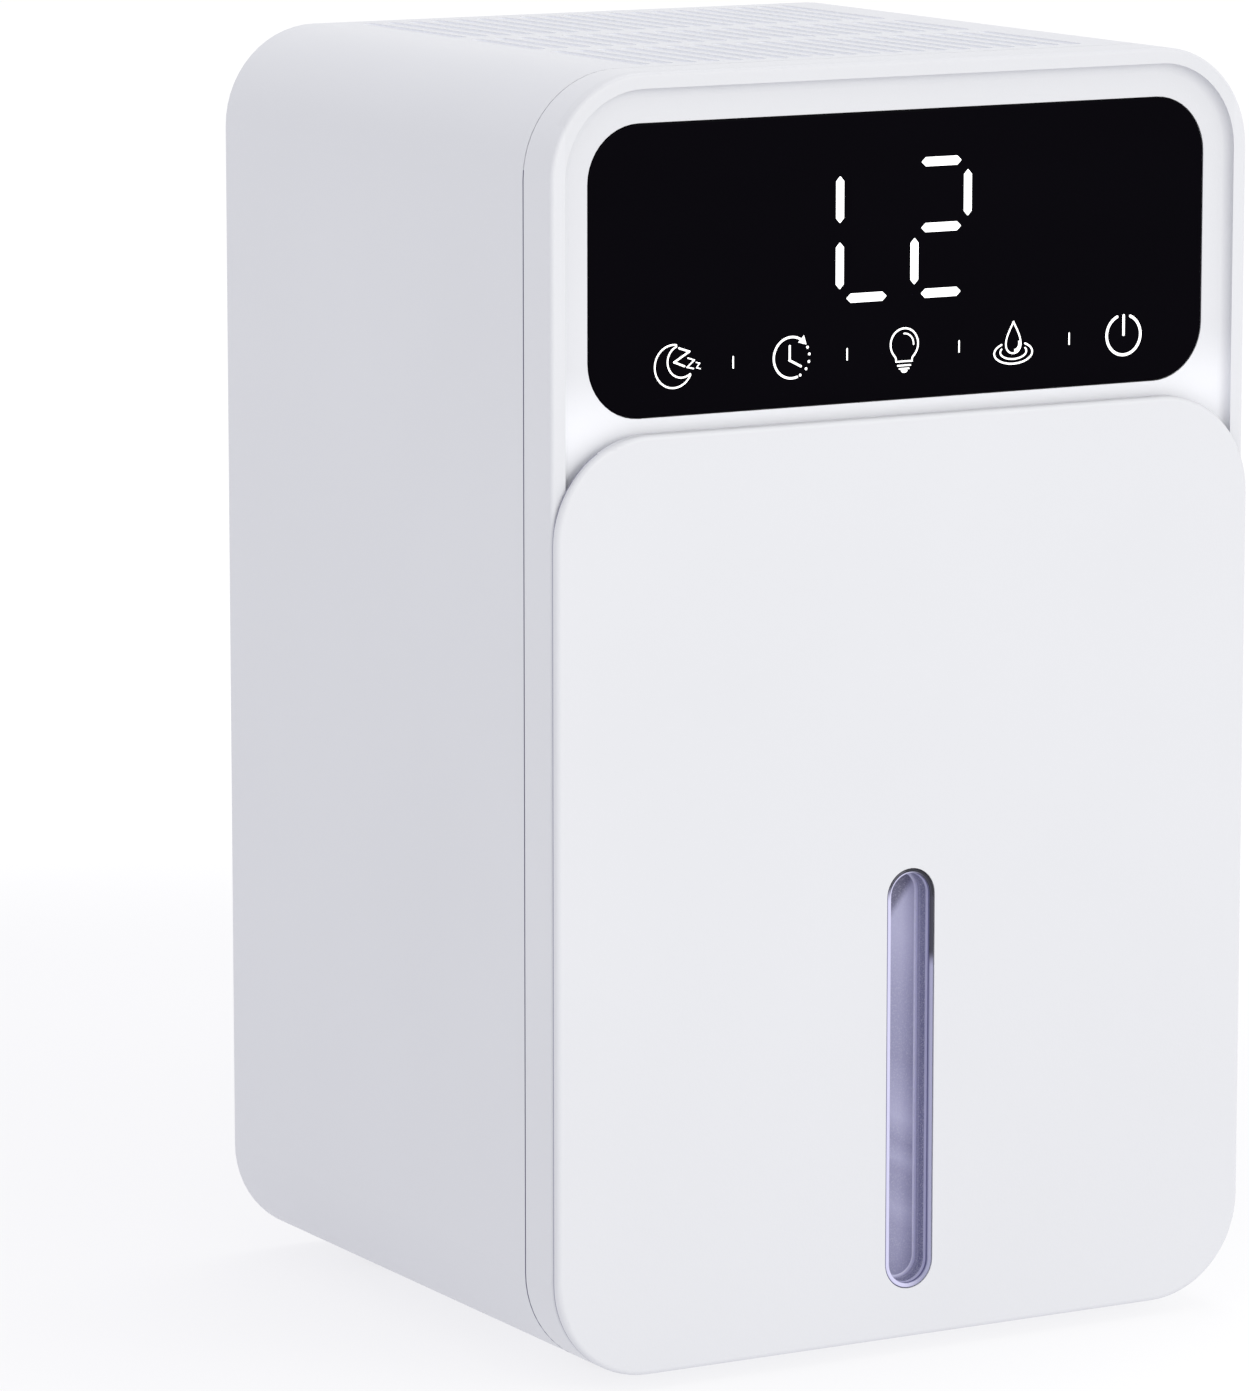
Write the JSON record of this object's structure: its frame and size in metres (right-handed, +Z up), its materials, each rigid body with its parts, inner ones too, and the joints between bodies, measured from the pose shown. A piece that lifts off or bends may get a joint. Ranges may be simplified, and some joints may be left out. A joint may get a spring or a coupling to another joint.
{
  "type": "table-top dehumidifier",
  "caption": "Small white upright dehumidifier with a black touch display, outlet slots in the top, a pull-out water tank behind the front panel and a level window.",
  "frame": {"origin": "middle of the footprint, on the surface the feet stand on", "axes": "+Z up, the display and the tank panel face -Y, +X to the right seen from the front"},
  "size_m": [0.154, 0.1366, 0.25],
  "materials": {
    "shell_white": "satin white plastic",
    "front_white": "satin white plastic",
    "display_black": "gloss black glass look",
    "clear_plastic": "clear plastic, slightly lavender",
    "tank_plastic": "translucent plastic",
    "chassis_plastic": "matt light grey plastic",
    "fan_black": "matt black plastic",
    "aluminium": "extruded",
    "steel": "zinc plated",
    "copper": "wound copper wire",
    "ceramic": "white ceramic",
    "foam": "closed cell foam",
    "rubber": "matt",
    "board_green": "solder resist",
    "component_black": "moulded",
    "lamp_white": "diffuse",
    "lead_black": "pvc",
    "float_plastic": "matt"
  },
  "bodies": {
    "housing": {"main_housing": "shell_white", "rubber_feet": "rubber", "rear_cover": "shell_white", "cover_screws": "steel", "front_frame": "front_white", "board_screws": "steel", "display_lens": "display_black", "display_board": "board_green", "digit_module": "component_black", "icon_lights": "lamp_white", "touch_pads": "steel", "main_board": "board_green", "power_components": "component_black", "ribbon_socket": "lamp_white", "display_ribbon": "lead_black", "inner_chassis": "chassis_plastic", "air_duct": "chassis_plastic", "duct_screws": "steel", "hot_sink": "aluminium", "cold_sink": "aluminium", "peltier_module": "ceramic", "peltier_gasket": "foam", "sink_clamp_screws": "steel", "drip_tray": "chassis_plastic", "fan_frame": "fan_black", "fan_bearing": "copper", "fan_stator": "copper", "fan_screws": "steel", "dc_jack": "component_black", "reed_sensor": "component_black", "night_light_board": "board_green", "night_light_leds": "lamp_white", "fan_lead": "lead_black", "peltier_leads": "lead_black", "dc_lead": "lead_black"},
    "tank": {"tank_front_panel": "front_white", "level_window": "clear_plastic", "panel_bond_pads": "foam", "water_tank": "tank_plastic", "tank_lid": "tank_plastic", "float_bracket": "float_plastic", "float_pin": "steel"},
    "float": {"float_body": "float_plastic", "float_magnet": "steel"},
    "fan": {"fan_rotor": "fan_black", "fan_magnet": "component_black", "fan_shaft": "steel"}
  },
  "joints": [
    {"name": "tank_slide", "type": "slide", "parent": "housing", "child": "tank", "axis": [0, -1, 0], "range_m": [0, 0.106]},
    {"name": "float_hinge", "type": "hinge", "parent": "tank", "child": "float", "pos_m": [0.045, 0.02, 0.086], "axis": [-1, 0, 0], "range_deg": [0, 25]},
    {"name": "fan_spin", "type": "hinge", "parent": "housing", "child": "fan", "pos_m": [0, 0.002, 0.23], "axis": [0, 0, 1], "continuous": true}
  ]
}
